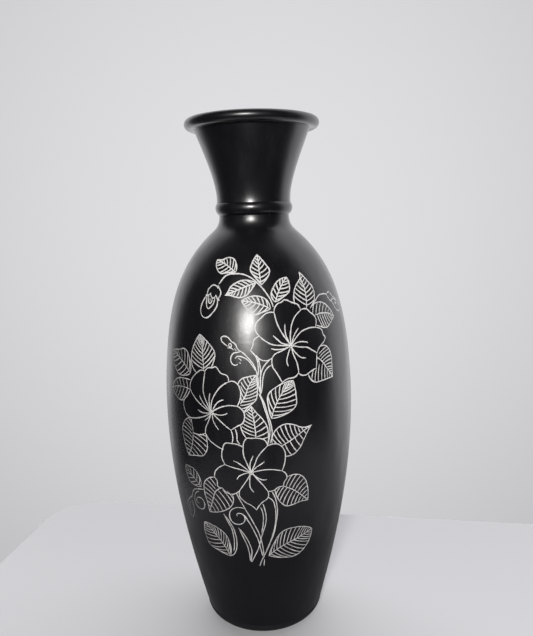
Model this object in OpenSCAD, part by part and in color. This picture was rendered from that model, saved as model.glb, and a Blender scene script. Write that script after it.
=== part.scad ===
// Tall black clay vase: thrown body, beaded collar, flared neck with a rolled lip, and
// engraved flowers, leaves, buds and tendrils filled with pale powder on the front.
// Millimetres, +Z up. Origin: centre of the resting face. The decorated front looks to -Y.

/* [Body] */
// Height over the rolled lip
total_height = 400; // [390:410]
// Radius where the rounded foot meets the wall
foot_radius = 48.5; // [46:0.5:51]
// Radius of the rounded corner of the foot
foot_round = 9; // [6:10]
// Largest radius of the body
belly_radius = 74.5; // [73:0.5:76]
// Height of the largest radius
belly_height = 180; // [174:186]
// Fired thickness of the body wall
body_wall = 6.5; // [5.5:0.5:7.5]
// Height of the lap joint between the two thrown halves
lap_height = 6; // [4:8]

/* [Shoulder] */
// Height where the collar is luted on
shoulder_height = 316; // [314:318]
// Gentle part of the fall of the shoulder
shoulder_round = 21; // [20:22]
// Steep part of the fall of the shoulder
shoulder_fall = 20.5; // [19.5:0.5:21.5]
// Power of the steep part
shoulder_power = 5.4; // [5:0.2:5.8]

/* [Collar and neck] */
// Radius of the crease under the bead
crease_radius = 27; // [26.4:0.2:27.6]
// Height of the middle of the bead
bead_height = 334; // [333.5:0.5:334.5]
// Radius of the bead section
bead_round = 6.5; // [6:0.5:7]
// Distance of the centre of the bead section from the axis
bead_reach = 23.3; // [23:0.1:23.6]
// Height where the neck is luted on
neck_height = 338; // [337.5:0.5:338.5]
// Smallest outer radius of the neck
neck_radius = 28.5; // [28:0.5:29]
// Inner radius of the throat
throat_radius = 22; // [21:0.5:23]
// Radius of the rolled edge of the lip
lip_round = 4; // [3.5:0.5:4.5]
// Outer radius of the lip
lip_radius = 51; // [50:0.5:53]

/* [Engraved decoration] */
// Width of an engraved line
line_width = 0.9; // [0.8:0.1:1.1]
// Depth of the powder in a line
line_depth = 0.4; // [0.3:0.1:0.5]
// Height of the powder above the clay
line_rise = 0.1; // [0.1:0.1:0.2]
// Clear space between neighbouring lines
line_gap = 0.5; // [0.3:0.1:0.6]

/* [Which part] */
// One sub-part by name, or all of them

/* [Hidden] */
$fn = 96;
STEPS = 28;
SPAN = 4;
LEAN = 0.2;
MITRE = 0.5;
PROBE = 0.02;
FLATTEST = 0.3;
VEIN_FIRST = 0.7;
VEIN_SPARE = 0.4;
VEIN_END = 0.97;
HEART_RING = 1.6;
base_thick = foot_round;
lower_reach = belly_height - base_thick;
lower_curve = (belly_radius - foot_radius) / (sqrt(2) - 1);
shoulder_reach = shoulder_height - belly_height;
seam_height = belly_height - lap_height / 2;
lip_centre = [lip_radius - lip_round, total_height - lip_round];
clay = [0.07, 0.07, 0.075];
clay_light = [0.1, 0.1, 0.11];
powder = [0.82, 0.81, 0.8];

// ---- curves ----
function bezier(a, b, c, d, t) =
  pow(1 - t, 3) * a + 3 * pow(1 - t, 2) * t * b + 3 * (1 - t) * t * t * c + t * t * t * d;
function curve(a, b, c, d, n) = [for (i = [0:n]) bezier(a, b, c, d, i / n)];
function arc(c, r, from, to, n) =
  [for (i = [0:n]) let (g = from + (to - from) * i / n) c + r * [cos(g), sin(g)]];
function reversed(p) = [for (i = [len(p) - 1:-1:0]) p[i]];

// ---- body profile ----
function fall(z) = (z - belly_height) / shoulder_reach;
function body_r(z) = z < belly_height
  ? belly_radius - lower_curve * (sqrt(1 + pow((belly_height - z) / lower_reach, 2)) - 1)
  : belly_radius - shoulder_round * pow(fall(z), 2) - shoulder_fall * pow(fall(z), shoulder_power);
function body_slope(z) = body_r(z + 0.5) - body_r(z - 0.5);
function inner_r(z) = body_r(z) - body_wall * sqrt(1 + pow(body_slope(z), 2));
function mid_r(z) = (body_r(z) + inner_r(z)) / 2;
function outside(z0, z1) = [for (i = [0:STEPS]) let (z = z0 + (z1 - z0) * i / STEPS) [body_r(z), z]];
function inside(z0, z1) = [for (i = [0:STEPS]) let (z = z0 + (z1 - z0) * i / STEPS) [inner_r(z), z]];

// ---- engraved lines ----
// A smooth line through hand-set points, each [arc length round the body, height].
function at(p, i) = p[min(max(i, 0), len(p) - 1)];
function smooth_at(p, i, t) =
  let (a = at(p, i - 1), b = at(p, i), c = at(p, i + 1), d = at(p, i + 2))
  bezier(b, b + (c - a) / 6, c - (d - b) / 6, c, t);
function smooth(p, n = SPAN) = [
  for (i = [0:len(p) - 2]) for (k = [0:n - 1]) smooth_at(p, i, k / n),
  p[len(p) - 1]
];
function along(p, t) =
  let (s = t * (len(p) - 1), i = min(floor(s), len(p) - 2)) smooth_at(p, i, s - i);
function trimmed(p, head, tail) =
  [for (q = p) if (norm(q - p[0]) >= head && norm(q - p[len(p) - 1]) >= tail) q];
function unit(v) = v / max(norm(v), 0.001);
// Half-width vector of the line at point i, mitred where the line turns a corner.
function across(p, i, closed) =
  let (
    n = len(p),
    a = unit(closed ? p[i] - p[(i + n - 1) % n] : p[max(i, 1)] - p[max(i, 1) - 1]),
    b = unit(closed ? p[(i + 1) % n] - p[i] : p[min(i + 1, n - 1)] - p[min(i + 1, n - 1) - 1]),
    m = unit(a + b)
  )
  [-m.y, m.x] * line_width / 2 / max(m * a, MITRE);
// A point on the wound surface of the body, lifted by h.
function place(q, h) =
  let (r = body_r(q.y), g = q.x / r * 180 / PI) [(r + h) * sin(g), -(r + h) * cos(g), q.y];
function line_points(p, closed) = [
  for (i = [0:len(p) - 1]) let (w = across(p, i, closed))
    each [place(p[i] - w, line_rise), place(p[i] + w, line_rise), place(p[i], -line_depth)]
];
function line_faces(n, closed, s) = [
  for (i = [0:closed ? n - 1 : n - 2]) for (k = [0:2])
    let (a = s + 3 * i, b = s + 3 * ((i + 1) % n), l = (k + 1) % 3)
    each [[a + k, a + l, b + k], [a + l, b + l, b + k]],
  if (!closed) [s, s + 2, s + 1],
  if (!closed) [s + 3 * n - 3, s + 3 * n - 2, s + 3 * n - 1]
];
function starts(lines, i, s = 0) =
  i == 0 ? s : starts(lines, i - 1, s + 3 * len(lines[i - 1][1]));

// Powder of one motif: lines is a list of [closed, points].
module filled(lines) {
  color(powder)
    polyhedron(
      points = [for (l = lines) each line_points(l[1], l[0])],
      faces = [for (i = [0:len(lines) - 1])
        each line_faces(len(lines[i][1]), lines[i][0], starts(lines, i))]
    );
}

function clear() = line_width + line_gap;
function open_line(p, head = 0, tail = 0) = [false, trimmed(smooth(p), head, tail)];
function loop_of(sides) = [true, [for (s = sides) let (q = smooth(s)) each [for (i = [0:len(q) - 2]) q[i]]]];

// Leaf: side a and side b run to the tip, rib is the midrib, n veins on each side. A leaf that
// grows from behind a petal is open at its foot, and its veins may start from another root line.
function heading(p, t) = unit(along(p, min(t + PROBE, 1)) - along(p, max(t - PROBE, 0)));
function slant(d, u) = max(abs(cross(d, u)), FLATTEST);
function vein(root, side, t, lean) =
  let (
    s = min(t + lean, VEIN_END), p = along(root, t), q = along(side, s), d = unit(q - p),
    from = clear() / slant(d, heading(root, t)), to = clear() / slant(d, heading(side, s))
  )
  norm(q - p) > from + to + line_width ? [p + d * from, q - d * to] : [];
function veins(root, side, n, lean) = [
  for (i = [0:n - 1])
    let (v = vein(root, side, (i + VEIN_FIRST) / (n + VEIN_SPARE), lean)) if (len(v) > 0) [false, v]
];
function apart(p) = [for (i = [0:len(p) - 1]) if (i == 0 || norm(p[i] - p[i - 1]) > 0.01) p[i]];
function foot_line(p) = [false, trimmed(apart(p), clear(), clear())];
module leaf(a, b, rib, n = 7, lean = LEAN, open = false,
  root_a = [], root_b = [], edge_a = [], extra = []) {
  filled(concat(
    [open ? foot_line(concat(smooth(a), reversed(smooth(b)))) : loop_of([a, reversed(b)])],
    [for (e = extra) foot_line(smooth(e))],
    [open_line(rib, clear() * 2, clear() * 3)],
    veins(len(root_a) > 0 ? root_a : rib, len(edge_a) > 0 ? edge_a : a, n, lean),
    veins(len(root_b) > 0 ? root_b : rib, b, n, lean)
  ));
}

// Flower: edge pieces close into one outline; rays and stamens run outward from the heart.
module flower(heart, edges, rays, stamens, open = false, near = 5, far = 9) {
  filled(concat(
    [open ? foot_line([for (e = edges) each smooth(e)]) : loop_of(edges)],
    [for (r = rays) open_line(concat([heart], r), near, clear())],
    [for (s = stamens) open_line(concat([heart], s), far, 0)],
    [[true, [for (g = [0:60:300]) heart + HEART_RING * [cos(g), sin(g)]]]]
  ));
}

// ---- thrown clay pieces ----
// Solid foot disc with a rounded corner.
module base_disc() {
  color(clay_light)
    rotate_extrude()
      polygon(concat(
        [[0, 0]],
        arc([foot_radius - foot_round, foot_round], foot_round, -90, 0, 8),
        [[0, base_thick]]
      ));
}

// Lower half of the body, with the outer step of the lap joint on its rim.
module lower_wall() {
  top = seam_height;
  color(clay)
    rotate_extrude()
      polygon(concat(
        outside(base_thick, top),
        [[mid_r(top), top], [mid_r(top + lap_height), top + lap_height]],
        reversed(inside(base_thick, top + lap_height))
      ));
}

// Upper half of the body, sitting over the lap, up to the seat of the collar.
module upper_wall() {
  top = seam_height;
  color(clay)
    rotate_extrude()
      polygon(concat(
        outside(top, shoulder_height),
        reversed(inside(top + lap_height, shoulder_height)),
        [[mid_r(top + lap_height), top + lap_height], [mid_r(top), top]]
      ));
}

// Collar ring: hollow sweep up from the shoulder, a crease and a round bead.
module collar_bead() {
  foot = [body_r(shoulder_height), shoulder_height];
  bead = [bead_reach, bead_height];
  low = acos((crease_radius - bead_reach) / bead_round);
  high = asin((neck_height - bead_height) / bead_round);
  crease = bead + bead_round * [cos(low), -sin(low)];
  color(clay_light)
    rotate_extrude()
      polygon(concat(
        curve(foot, foot + [-3.4, 3], crease - [0, 7], crease, 10),
        arc(bead, bead_round, -low + 4, high, 12),
        [[throat_radius, neck_height]],
        curve([throat_radius, neck_height - 9], [throat_radius, shoulder_height + 5],
          [throat_radius + 1, shoulder_height + 2], [inner_r(shoulder_height), shoulder_height], 6)
      ));
}

// Neck: narrow above the bead, flaring out to the lip.
module neck() {
  color(clay)
    rotate_extrude()
      polygon(concat(
        curve([neck_radius, neck_height], [neck_radius - 1.5, neck_height + 15],
          lip_under() - [4, 12], lip_under(), 20),
        curve(lip_throat(), lip_throat() - [8, 16],
          [throat_radius - 0.5, neck_height + 16], [throat_radius, neck_height], 20)
      ));
}
function lip_under() = lip_centre + [-3.5, -4];
function lip_throat() = lip_centre + [-7.5, 0.5];

// Lip: a rolled edge that closes the flare of the neck.
module lip_roll() {
  crown = lip_centre + [0, lip_round];
  color(clay_light)
    rotate_extrude()
      polygon(concat(
        [lip_under()],
        arc(lip_centre, lip_round, -110, 90, 16),
        curve(crown, crown - [3, 0], lip_throat() + [1.5, 2], lip_throat(), 6)
      ));
}

// ---- flowers ----
module flower_upper() {
  flower([25, 239],
    [
      [[13, 262], [14, 266], [16, 268], [18, 268.5], [20.5, 270], [26, 268], [31, 266], [33, 262]],
      [[33, 262], [38, 262.5], [41, 260], [45, 257], [46.5, 253], [45, 249]],
      [[45, 249], [49, 248], [52, 246], [53, 243], [55, 240.5], [53.5, 238], [50, 236], [46, 231]],
      [[46, 231], [45.5, 226], [45, 220.5]],
      [[45, 220.5], [40, 219], [35.5, 217], [32, 217.5], [30, 219.5]],
      [[30, 219.5], [27.5, 217], [21.5, 216], [17.5, 214]],
      [[17.5, 214], [14, 220.5], [11, 225.5], [11, 231.5]],
      [[11, 231.5], [8, 230], [4, 230], [1, 232], [-4, 237]],
      [[-4, 237], [-2.5, 240], [-1, 244.5], [2.5, 246.5]],
      [[2.5, 246.5], [0, 250], [0, 255], [4, 259], [8, 262], [13, 262]]
    ],
    [
      [[21, 244], [17, 250], [14.5, 256], [13, 262]],
      [[24.5, 247], [26, 254], [29, 259], [33, 262]],
      [[29, 244], [33, 247.5], [38, 249], [45, 249]],
      [[32, 237], [38, 236], [42, 233.5], [46, 231]],
      [[26.5, 232], [29, 226], [30, 219.5]],
      [[17, 235.5], [13, 234], [11, 231.5]],
      [[17, 239.5], [11, 240.5], [6, 243.5], [2.5, 246.5]]
    ],
    [
      [[22, 247], [20.5, 250], [20.5, 254]],
      [[18, 242], [15, 244], [12, 247]],
      [[21.5, 232], [21, 228], [22, 225]],
      [[28.5, 233], [32, 230], [36, 229]],
      [[30, 240.5], [34, 240.5], [38, 239.5]],
      [[27, 245], [30.5, 250]]
    ]
  );
}

module flower_left() {
  flower([-34, 192],
    [
      [[-27, 165.5], [-33, 168.5], [-38, 172], [-40, 176]],
      [[-40, 176], [-46, 173.5], [-52, 174]],
      [[-52, 174], [-52.5, 179], [-54, 185]],
      [[-54, 185], [-58.5, 187], [-61, 191], [-61, 196], [-56.5, 201], [-53, 206]],
      [[-53, 206], [-53, 210], [-51.5, 213.5], [-46, 219], [-42, 221.5], [-38.5, 221]],
      [[-38.5, 221], [-35, 224], [-32.5, 224], [-30, 225], [-26, 221], [-21, 219], [-20, 215]],
      [[-20, 215], [-16.5, 215.5], [-13.5, 213.5], [-12, 210], [-12, 204], [-14.5, 198]],
      [[-14.5, 198], [-10, 194], [-9.5, 190], [-11, 186], [-15, 183.5], [-19.5, 180.5]],
      [[-19.5, 180.5], [-18.5, 176], [-19.5, 170.5]]
    ],
    [
      [[-34, 199], [-30.5, 206], [-26, 211.5], [-20, 215]],
      [[-38.5, 200], [-40.5, 206], [-40, 214], [-38.5, 221]],
      [[-43, 196.5], [-49, 201], [-53, 206]],
      [[-41, 188], [-47, 186], [-54, 185]],
      [[-37, 185], [-39.5, 180], [-40, 176]],
      [[-28, 187], [-23, 183], [-19.5, 180.5]],
      [[-28, 196], [-22, 198], [-14.5, 198]]
    ],
    [
      [[-36, 200], [-35, 206]],
      [[-40, 197.5], [-42, 200.5], [-44, 203]],
      [[-41, 191], [-46, 192.5]],
      [[-33, 186], [-31, 182.5], [-29, 180]],
      [[-28, 191], [-24.5, 191.5], [-22, 192.5]],
      [[-29, 200], [-25, 202.5]]
    ],
    true
  );
}

module flower_lower() {
  flower([-6, 149],
    [
      [[-11, 168], [-10, 173], [-8.5, 175], [-5, 175], [-1, 175], [4, 173.5], [6, 169]],
      [[6, 169], [9, 170], [13, 170], [16, 168], [18.5, 163], [18.5, 158], [17.5, 153], [16, 149]],
      [[16, 149], [18.5, 147], [19.5, 143.5], [17.5, 140], [17, 137]],
      [[17, 137], [13, 136.5], [10, 134.5], [5.5, 134]],
      [[5.5, 134], [5.5, 129], [1, 125], [-3, 119]],
      [[-3, 119], [-5, 121.5], [-11, 125.5], [-15, 130], [-14.5, 135]],
      [[-14.5, 135], [-19, 131.5], [-22, 131], [-25, 132], [-28, 135]],
      [[-28, 135], [-32, 136], [-32, 139.5], [-34, 142.5]],
      [[-34, 142.5], [-34, 145], [-28, 152.5], [-25, 154]],
      [[-25, 154], [-27, 158], [-26.5, 166], [-24.5, 170], [-19, 170.5], [-15, 170], [-11, 168]]
    ],
    [
      [[-8.5, 155], [-11, 162], [-11, 168]],
      [[-3.5, 155], [-1, 161], [3, 166], [6, 169]],
      [[0, 150.5], [5, 151], [11, 150.5], [16, 149]],
      [[-1, 143], [3, 138], [5.5, 134]],
      [[-9, 143.5], [-12, 139], [-14.5, 135]],
      [[-13, 151], [-20, 152.5], [-25, 154]]
    ],
    [
      [[-6.5, 156], [-5.5, 159], [-4.5, 162]],
      [[-2, 153.5], [3.5, 157.5]],
      [[-1, 145], [2, 143.5], [5, 143.5]],
      [[-7.5, 142], [-7, 137.5], [-4.5, 133.5]],
      [[-12, 147.5], [-14.5, 146], [-16.5, 143]],
      [[-11.5, 153.5], [-15, 156], [-18.5, 157.5]]
    ]
  );
}

// ---- leaves: one side, the other side, midrib, all from the stalk to the tip ----
module leaf_crown_left() {
  leaf([[-13.5, 289.5], [-12.5, 295], [-15, 299.5], [-21, 300], [-28.5, 299]],
    [[-13.5, 289.5], [-20, 289], [-26, 289.5], [-28.5, 293], [-28.5, 299]],
    [[-13.5, 289.5], [-18, 293], [-23, 296.5], [-28.5, 299]], 6);
}
module leaf_crown_top() {
  leaf([[5, 282], [0, 286.5], [-3, 291], [-2.5, 295], [2, 301]],
    [[5, 282], [9, 286], [10.5, 291], [8, 295.5], [2, 301]],
    [[5, 282], [3.5, 288], [3, 294], [2, 301]], 7);
}
module leaf_crown_mid() {
  leaf([[-1, 281.5], [-5, 284], [-9, 283.9], [-14.3, 281.8], [-17.5, 279.2], [-19, 276.5], [-21.3, 273.9]],
    [[-1, 281.5], [-3.2, 276.6], [-6.8, 273.6], [-10.2, 272.7], [-14.3, 273.1], [-17.7, 273.9],
      [-21.3, 273.9]],
    [[-1, 281.5], [-6, 280], [-12, 277.7], [-21.3, 273.9]], 6);
}
module leaf_crown_low() {
  leaf([[10.5, 264.5], [8, 270.5], [1, 273.5], [-5, 272.7], [-9.5, 270.5]],
    [[10.5, 264.5], [5, 263.7], [-1, 262], [-5, 265], [-9.5, 270.5]],
    [[10.5, 264.5], [6, 267], [0, 269], [-9.5, 270.5]], 6);
}
module leaf_top_small() {
  leaf([[14, 269], [11.5, 273], [13, 279], [16.5, 283.5], [22.5, 285]],
    [[14, 269], [20, 272], [24, 276], [24, 281], [22.5, 285]],
    [[14, 269], [16, 274], [19, 280], [22.5, 285]], 6);
}
module leaf_top_large() {
  leaf([[28, 267.5], [28, 275], [31, 281], [33.5, 284.5], [33, 288]],
    [[46, 266.5], [46, 273], [44, 279], [38, 283], [33, 288]],
    [[38, 263], [38, 272], [36.5, 279], [33, 288]], 7, LEAN, true);
}
module leaf_top_right() {
  leaf([[41, 263.5], [46, 266], [52, 266], [60, 262], [65, 257.5], [69, 254]],
    [[47, 249.5], [51, 248.5], [56, 247.5], [62, 249.5], [66, 252.5], [69, 254]],
    [[46.5, 257.5], [55, 257.5], [62, 256], [69, 254]], 8, 0.05, true,
    [[42, 261], [47, 258], [54, 257.5], [61, 256], [69, 254]]);
}
module leaf_right_high() {
  leaf([[49.5, 235], [54, 235], [58.5, 232], [61, 227], [61.5, 219], [62, 211]],
    [[38, 217], [40, 213], [43, 211], [50, 210.5], [56, 211], [62, 211]],
    [[45.5, 228], [51, 224], [56, 218], [62, 211]], 9, 0, true,
    [[48, 231.5], [48.5, 227], [52, 223], [57, 217], [62, 211]],
    [[40, 218.5], [45, 220], [49, 223], [53, 221], [57, 217], [62, 211]]);
}
module leaf_left_top() {
  leaf([[-46, 219], [-50, 223], [-51, 231], [-48, 239], [-42.5, 246.5]],
    [[-33.5, 224], [-31, 229], [-29.5, 235], [-32.5, 241], [-42.5, 246.5]],
    [[-39.5, 221], [-40, 230], [-40.5, 238], [-42.5, 246.5]], 9, LEAN, true);
}
module leaf_left_outer() {
  leaf([[-52.5, 218], [-53, 228], [-57, 234], [-66, 233], [-77, 231]],
    [[-52.5, 218], [-60, 215], [-68, 215.5], [-74, 221], [-77, 231]],
    [[-52.5, 218], [-59, 223.5], [-67, 228], [-77, 231]], 7);
}
module leaf_left_mid() {
  leaf([[-53, 213], [-60, 213], [-67, 212], [-73, 209], [-79, 202.5]],
    [[-61, 197], [-68, 196], [-74, 199], [-79, 202.5]],
    [[-53, 206], [-62, 206.5], [-71, 205], [-79, 202.5]], 6, 0.05, true);
}
module leaf_left_fold() {
  leaf([[-54, 185], [-61, 181], [-64.5, 174], [-63, 166], [-58.5, 154.5]],
    [[-40, 176], [-39, 170], [-39.5, 163], [-43, 158], [-50, 156.5], [-58.5, 154.5]],
    [[-52, 174], [-53, 167], [-55.5, 160], [-58.5, 154.5]], 9, 0, true,
    [[-54, 183], [-53.5, 176], [-53.5, 168], [-56, 160], [-58.5, 154.5]],
    [[-43, 173.5], [-51, 172], [-53, 166], [-55.5, 160], [-58.5, 154.5]]);
}
module leaf_mid_left() {
  leaf([[-13.5, 213.5], [-10.5, 217.5], [-6, 219], [-0.5, 220]],
    [[-10, 194], [-5, 199], [-1, 203], [0, 208], [0, 214], [-0.5, 220]],
    [[-12, 200], [-8.5, 205.5], [-6.5, 211], [-0.5, 220]], 8, 0.05, true,
    [], [], [[-12, 204], [-11.5, 210], [-10.5, 216.5], [-6, 218.5], [-0.5, 220]]);
}
module leaf_mid_centre() {
  leaf([[-10, 193.5], [-7, 195.5], [-4.5, 198.5]],
    [[6, 169], [7, 177], [6, 183.5], [3, 189], [-1, 193.5], [-4.5, 198.5]],
    [[-2, 175], [-2.5, 184], [-3.5, 191], [-4.5, 198.5]], 8, 0.12, true, [],
    [[4, 174], [-1, 176], [-2.5, 182], [-3.5, 190], [-4.5, 198.5]],
    [[-9, 176.5], [-11.5, 181], [-11, 186], [-9, 191], [-7, 195.5], [-4.5, 198.5]],
    [[[-8.5, 175], [-11.5, 180], [-12.5, 184]]]);
}
module leaf_mid_right() {
  leaf([[9.5, 189], [7.5, 197], [7.5, 206], [14, 211.5], [25.5, 214.5]],
    [[9.5, 189], [19, 191], [27, 196], [27.5, 205], [25.5, 214.5]],
    [[9.5, 189], [12, 197], [17, 206], [25.5, 214.5]], 9);
}
module leaf_mid_low() {
  leaf([[9.5, 170], [10.5, 178], [14, 182], [20, 184], [26, 182.5], [31, 180], [39.5, 180]],
    [[18.5, 160], [24, 160.5], [29, 164], [33, 170], [37, 177], [39.5, 180]],
    [[16, 168], [24, 172], [31, 176], [39.5, 180]], 9, 0.05, true,
    [[11.5, 170], [16.5, 169.5], [20, 170.5], [25, 172.5], [31, 176], [39.5, 180]]);
}
module leaf_low_right() {
  leaf([[19.5, 143.5], [25, 145], [30, 143.5], [34, 139], [36, 132], [36, 121.5]],
    [[10.5, 135], [12, 129], [15, 123.5], [19, 120.5], [25, 121], [31, 122], [36, 121.5]],
    [[17, 137], [24, 133], [30, 128], [36, 121.5]], 9, 0.05, true, [],
    [[12.5, 136], [18, 136.5], [24, 132.5], [30, 127.5], [36, 121.5]]);
}
module leaf_low_left() {
  leaf([[-47, 132], [-48.5, 140], [-53, 144.5], [-58, 145.5], [-64, 145]],
    [[-47, 132], [-54, 131], [-60, 133], [-63, 138], [-64, 145]],
    [[-47, 132], [-53, 136.5], [-59, 140.5], [-64, 145]], 6);
}
module leaf_low_fold() {
  leaf([[-34, 142.5], [-40, 140.5], [-44, 135], [-44, 128], [-42, 121], [-40.5, 112.5]],
    [[-20.5, 131], [-20, 125], [-22.5, 120], [-28, 116], [-33, 114], [-40.5, 112.5]],
    [[-28.5, 135], [-34, 131], [-36.5, 124], [-40.5, 112.5]], 8, 0.05, true,
    [[-33, 138], [-34.5, 131.5], [-37, 124], [-40.5, 112.5]],
    [[-22, 131.5], [-28, 133.5], [-34, 130], [-36.5, 123], [-40.5, 112.5]]);
}
module leaf_base_left() {
  leaf([[-24.5, 76.5], [-24, 86], [-28, 96], [-36, 100.5], [-46.5, 101.5]],
    [[-24.5, 76.5], [-34, 79], [-43, 82.5], [-46.5, 90], [-46.5, 101.5]],
    [[-24.5, 76.5], [-30, 86.5], [-37, 94], [-46.5, 101.5]], 9);
}
module leaf_base_right() {
  leaf([[5, 79], [9.5, 91], [16, 99.5], [26, 101], [40, 95.5]],
    [[5, 79], [15, 76], [26, 75.5], [35, 82], [40, 95.5]],
    [[5, 79], [15, 86.5], [26, 90.5], [40, 95.5]], 9);
}

// ---- buds: calyx, petal and the curl inside it ----
module bud_left() {
  filled([
    loop_of([
      [[-27.5, 279.8], [-30.6, 280.7], [-33.3, 279.1], [-35.4, 276.6], [-37, 273.5]],
      [[-37, 273.5], [-34.3, 274], [-32.8, 275.2]],
      [[-32.8, 275.2], [-32.5, 273.1], [-30.9, 271.8], [-29.4, 272.7], [-28.6, 274]],
      [[-28.6, 274], [-28, 272.4], [-26.3, 270.6]],
      [[-26.3, 270.6], [-25.6, 272.8], [-24.8, 274.6], [-24.7, 276.4], [-25.6, 278.2], [-27.5, 279.8]]
    ]),
    open_line([[-37.6, 272.2], [-39.1, 270.1], [-41.1, 266.4], [-41.8, 263.1], [-40.8, 259.9],
      [-38.4, 258.3], [-35.7, 258.5], [-32.6, 260.7], [-29.6, 263.7], [-27.9, 266.4], [-27.4, 268.8]]),
    open_line([[-35.6, 272.2], [-36.4, 269.5], [-36.2, 266.1], [-35.2, 264.7], [-33, 265.8],
      [-30.9, 267.7], [-29.8, 270.5]]),
    open_line([[-34.2, 272.2], [-34.8, 270], [-33.7, 268.1], [-32.3, 269.1], [-32, 270.3]])
  ]);
}
module bud_right() {
  filled([
    loop_of([[[62, 270.5], [66, 271.5], [70, 269.5], [74, 268]], [[74, 268], [71.5, 266]],
      [[71.5, 266], [67, 265.5], [63.5, 267.5], [62, 270.5]]]),
    open_line([[75, 266.5], [79, 264], [84, 260.5], [85, 257.5], [79, 257.5], [73, 260], [69, 263.5]]),
    open_line([[72.5, 264.5], [77, 262], [79, 260], [75, 261], [71, 264]])
  ]);
}
module bud_small() {
  filled([
    open_line([[-20.1, 239.9], [-22.6, 241.3], [-24.5, 243.3], [-24.8, 245.1], [-23.5, 246.4],
      [-21.5, 246.5], [-19.6, 245.6], [-18.2, 244.2], [-17.1, 242.9], [-15.2, 242], [-14, 240.3],
      [-13.2, 238.7], [-12.6, 237.9]]),
    open_line([[-18.8, 241.2], [-17.9, 241.3], [-17.3, 240.1]]),
    open_line([[-20.1, 238.4], [-17.6, 238.5], [-16, 237.4]])
  ]);
}
module bud_faint() {
  filled([
    open_line([[-60, 118], [-65, 114], [-67.5, 109], [-66, 104], [-62, 101]]),
    open_line([[-59.5, 116], [-58.5, 110], [-59, 104], [-60.5, 102]]),
    open_line([[-62, 113], [-63.5, 109], [-62, 106]])
  ]);
}

// ---- stems: many are a pair of lines side by side ----
module stem_crown() {
  filled([
    open_line([[-24.5, 283], [-22, 286.5], [-17, 287.5], [-11, 287.5], [-4, 286], [3, 281],
      [8, 275], [11.5, 269]]),
    open_line([[47, 267.5], [50, 270], [55, 271], [60.5, 270.5]])
  ]);
}
module stem_upper() {
  filled([
    open_line([[-10.4, 236.2], [-7.8, 234.6], [-5, 231.7], [-2.6, 228.6], [-1.4, 226.8]]),
    open_line([[-1, 232], [0, 230], [1, 227], [1, 222], [1.5, 214], [1.5, 208]]),
    open_line([[8.5, 228], [5, 225], [3, 221], [2.8, 214], [3, 209]]),
    open_line([[9.5, 225.5], [6.5, 222.5], [4.8, 218], [4.3, 212]])
  ]);
}
module stem_middle() {
  filled([
    open_line([[1.5, 206], [3.5, 200], [5.5, 193], [7, 187], [8, 181], [8, 176], [7, 171]]),
    open_line([[3, 206.5], [5, 200], [6.5, 195]]),
    open_line([[-16.5, 181], [-15.5, 177], [-15.5, 174], [-14, 171.5]]),
    open_line([[9.2, 186], [9.5, 180]])
  ]);
}
module stem_lower() {
  filled([
    open_line([[-18, 131], [-14, 125], [-10, 117], [-6, 109], [-2.5, 101], [-0.7, 95]]),
    open_line([[-11, 112.5], [-8, 107], [-5, 100], [-2.5, 93.5]]),
    open_line([[1.8, 123.5], [3.3, 118], [3.5, 112], [2.3, 105], [0.8, 98]]),
    open_line([[-0.2, 121], [1.4, 116], [1.5, 109], [0.3, 103]]),
    open_line([[6, 128.5], [9, 125.5], [10.3, 119], [10, 110], [8.5, 101], [5.5, 91], [2.7, 82]]),
    open_line([[9, 132.5], [10.8, 128], [11.9, 121], [11.6, 111], [10.3, 103], [8, 94.5]]),
    open_line([[-0.3, 92], [0.8, 86], [1.2, 79], [1.4, 70]]),
    open_line([[-2, 91], [-4, 85], [-6.5, 79], [-8, 74]]),
    open_line([[-1.5, 87], [-0.5, 80], [-1, 74], [-2, 70]])
  ]);
}
module stem_base_left() {
  filled([
    open_line([[-17, 103], [-13, 98], [-9.8, 91], [-8, 84], [-7.8, 77]]),
    open_line([[-16, 99.5], [-13, 93], [-10.5, 86], [-9.3, 79], [-9, 74]]),
    open_line([[-28, 112.5], [-24, 107], [-20.5, 101], [-19, 94], [-18.8, 88], [-20, 82], [-22, 78]]),
    open_line([[-28.5, 110.5], [-25, 105], [-22.2, 99.5], [-20.8, 93], [-21, 86]])
  ]);
}

// ---- tendrils ----
module tendril_upper() {
  filled([
    open_line([[-1.2, 223.4], [-3.3, 227], [-5.4, 229.8], [-8, 231.8], [-11.1, 232.9], [-13.8, 232.7],
      [-14.8, 231.7]]),
    open_line([[-12.1, 231.3], [-10.7, 230]]),
    open_line([[-12, 236], [-13.2, 235.8], [-16.1, 235], [-17.7, 232.8], [-18, 230.3], [-17.1, 227.9],
      [-15.2, 226.8], [-13.2, 227.6]])
  ]);
}
module tendril_left() {
  filled([
    open_line([[-46.5, 129.5], [-53, 128], [-57, 124.5], [-59, 120]]),
    open_line([[-46, 127.5], [-52, 126], [-55.5, 122], [-55.5, 117], [-53, 113], [-49, 112],
      [-45.5, 114.5], [-45.5, 119], [-49, 122], [-52.5, 120.5], [-52.5, 117.5], [-50.5, 116.5]])
  ]);
}
module tendril_lower() {
  filled([
    open_line([[-13.5, 120.5], [-17.5, 120], [-22, 116.5], [-23, 112], [-21, 107.5], [-16.5, 106],
      [-12.5, 108.5], [-12.3, 112.5], [-14.5, 115.5], [-18, 114.5]])
  ]);
}

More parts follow.
